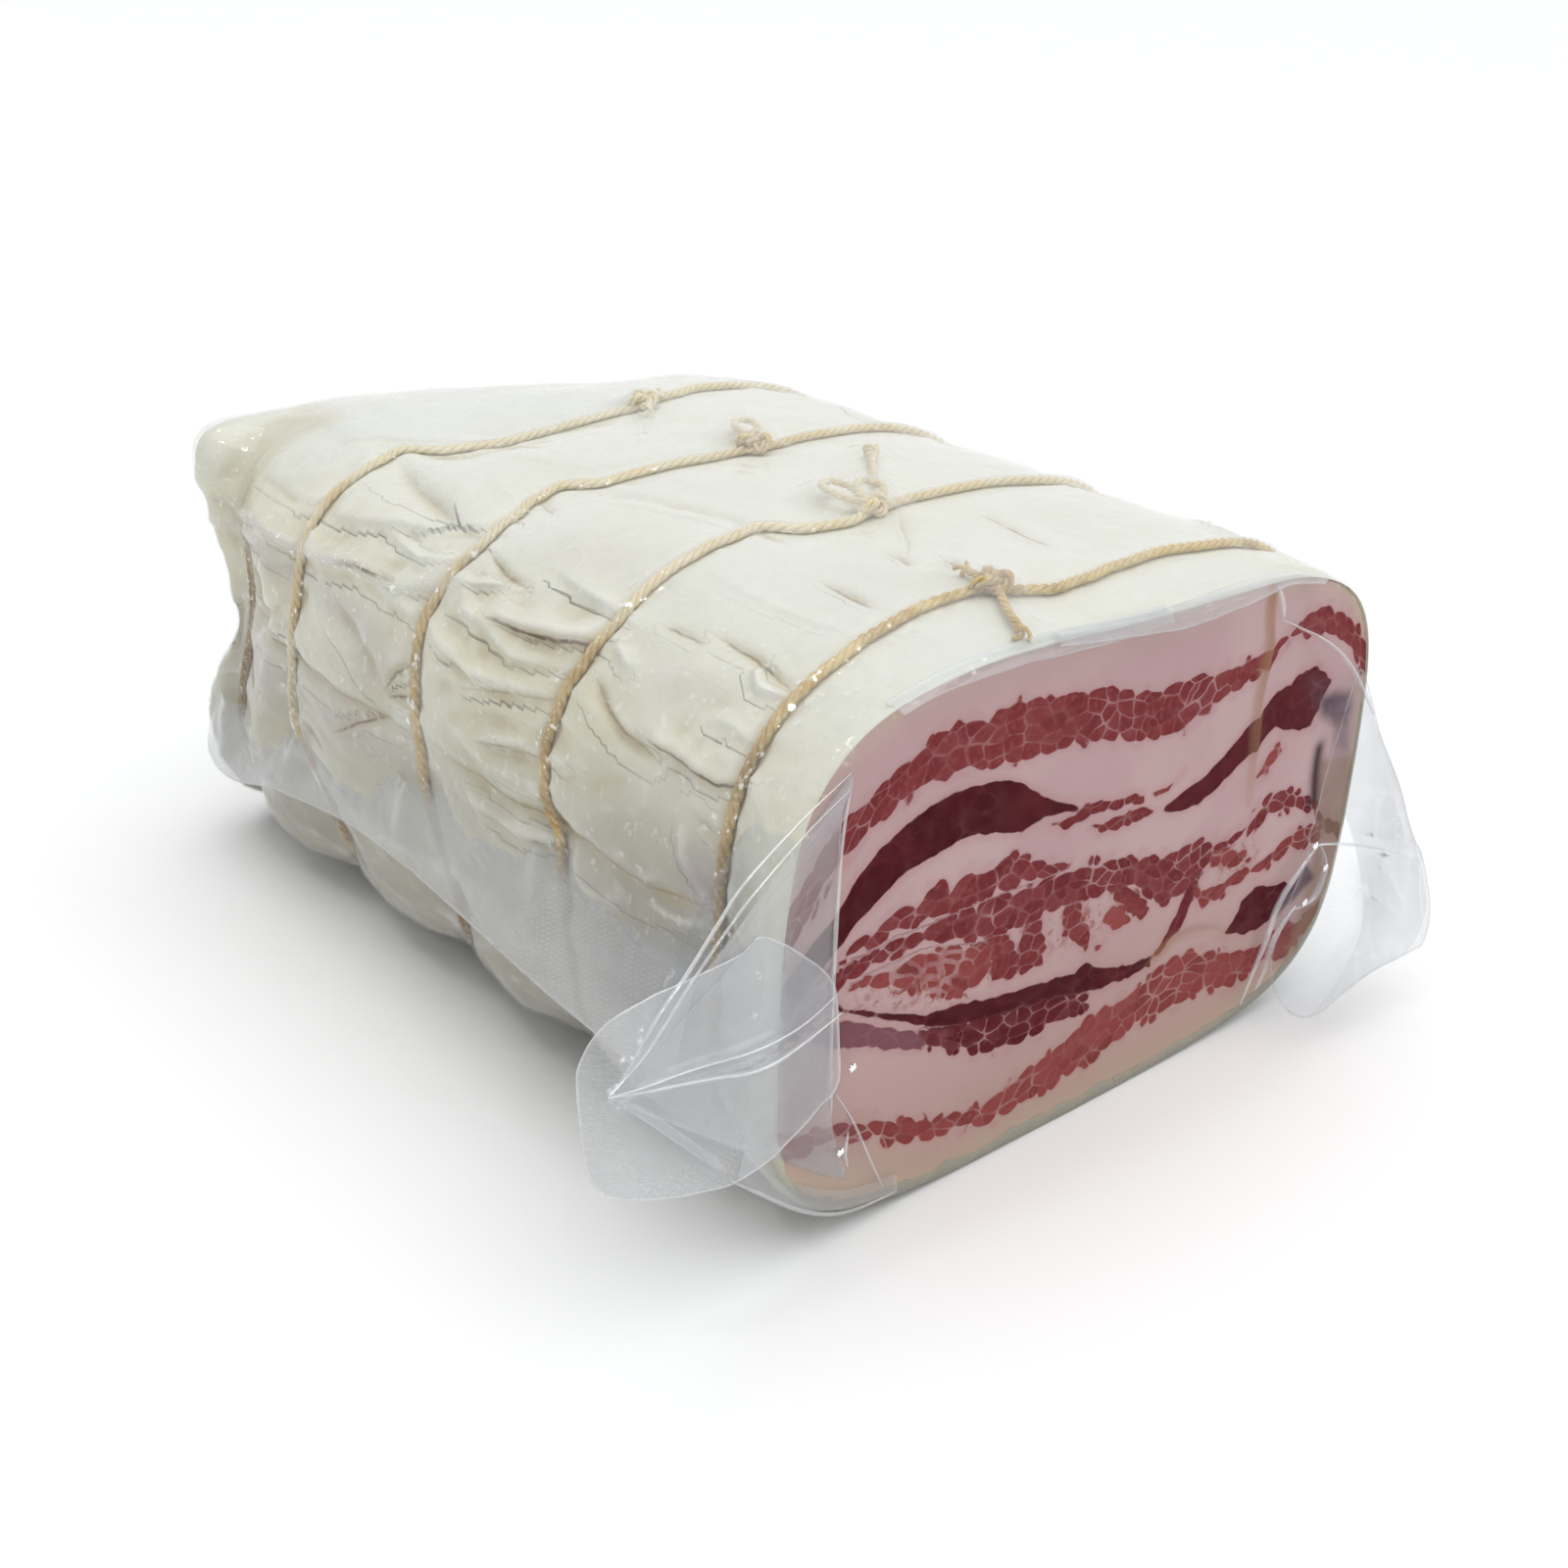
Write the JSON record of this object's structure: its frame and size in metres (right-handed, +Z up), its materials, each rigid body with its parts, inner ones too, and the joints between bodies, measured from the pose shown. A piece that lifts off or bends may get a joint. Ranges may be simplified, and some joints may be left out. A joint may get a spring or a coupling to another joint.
{
  "type": "vacuum-packed pancetta",
  "caption": "Tied, cased block of cured pork belly with one cut face, sealed in a clear vacuum pouch with folded corners.",
  "frame": {"origin": "middle of the footprint, on the surface that the pack rests on", "axes": "+Z up, -Y towards the cut face, +X to the right of someone facing the cut face"},
  "size_m": [0.2224, 0.247, 0.1159],
  "materials": {
    "casing": "pale cream casing, creased and slightly glossy under film",
    "meat": "moist cut pork belly, pinkish-white fat with rose to maroon lean bands",
    "film": "clear wrinkled vacuum film, frosted along its sealed borders",
    "twine": "tan two-strand butcher's twine"
  },
  "bodies": {
    "root": {"vacuum_pack": "casing", "tie_1": "twine", "tie_2": "twine", "tie_3": "twine", "tie_4": "twine", "tie_5": "twine"}
  },
  "joints": []
}
